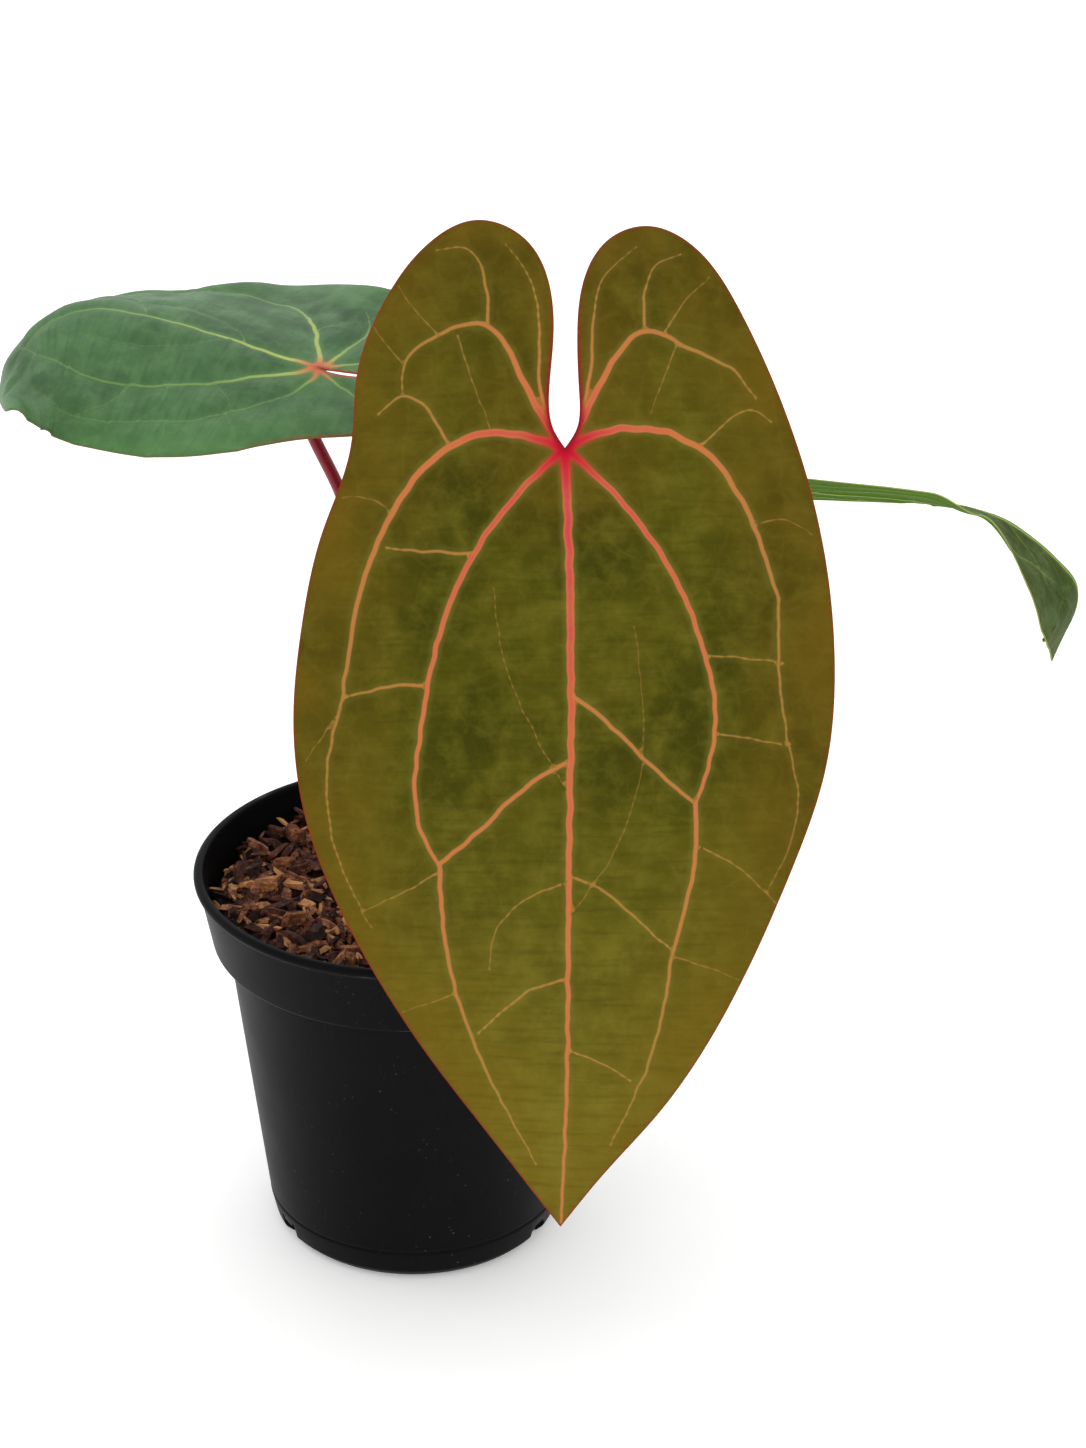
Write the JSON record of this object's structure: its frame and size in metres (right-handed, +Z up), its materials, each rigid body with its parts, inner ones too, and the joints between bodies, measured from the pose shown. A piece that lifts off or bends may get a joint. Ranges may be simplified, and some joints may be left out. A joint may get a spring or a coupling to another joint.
{
  "type": "potted anthurium",
  "caption": "Young velvet-leaf anthurium in a round black nursery pot of bark mix: heart-shaped veined blades on slender red stalks.",
  "frame": {"origin": "centre of the pot's flat underside", "axes": "+Z up along the pot's axis; the large front leaf faces -Y"},
  "size_m": [0.2894, 0.1781, 0.3041],
  "materials": {
    "pot_black": "satin moulded",
    "bark_mix": "rough chipped bark",
    "stem_brown": "rough",
    "root_tan": "matt",
    "petiole_red": "semi-gloss",
    "blade_olive": "velvety satin",
    "blade_green": "satin",
    "blade_bright": "satin",
    "sheath_straw": "dry papery",
    "chip_red": "rough",
    "chip_tan": "rough",
    "chip_dark": "rough"
  },
  "bodies": {
    "root": {"bark_chip_01": "chip_red", "bark_chip_02": "chip_tan", "bark_chip_03": "chip_dark", "bark_chip_04": "chip_red", "bark_chip_05": "chip_tan", "bark_chip_06": "chip_dark", "bark_chip_07": "chip_red", "bark_chip_08": "chip_tan", "bark_chip_09": "chip_dark", "bark_chip_10": "chip_red", "bark_chip_11": "chip_tan", "bark_chip_12": "chip_dark", "bark_chip_13": "chip_red", "bark_chip_14": "chip_tan", "bark_chip_15": "chip_dark", "bark_chip_16": "chip_red", "bark_chip_17": "chip_tan", "bark_chip_18": "chip_dark", "bark_chip_19": "chip_red", "bark_chip_20": "chip_tan", "bark_chip_21": "chip_dark", "bark_chip_22": "chip_red", "bark_chip_23": "chip_tan", "bark_chip_24": "chip_dark", "bark_chip_25": "chip_red", "bark_chip_26": "chip_tan", "bark_chip_27": "chip_dark", "bark_chip_28": "chip_red", "bark_chip_29": "chip_tan", "bark_chip_30": "chip_dark", "blade_front": "blade_olive", "blade_left": "blade_green", "blade_right": "blade_bright", "nursery_pot": "pot_black", "petiole_front": "petiole_red", "petiole_left": "petiole_red", "petiole_right": "petiole_red", "potting_mix": "bark_mix", "root_1": "root_tan", "root_2": "root_tan", "root_3": "root_tan", "root_4": "root_tan", "root_5": "root_tan", "root_6": "root_tan", "sheath_1": "sheath_straw", "sheath_2": "sheath_straw", "sheath_3": "sheath_straw", "stem": "stem_brown"}
  },
  "joints": []
}
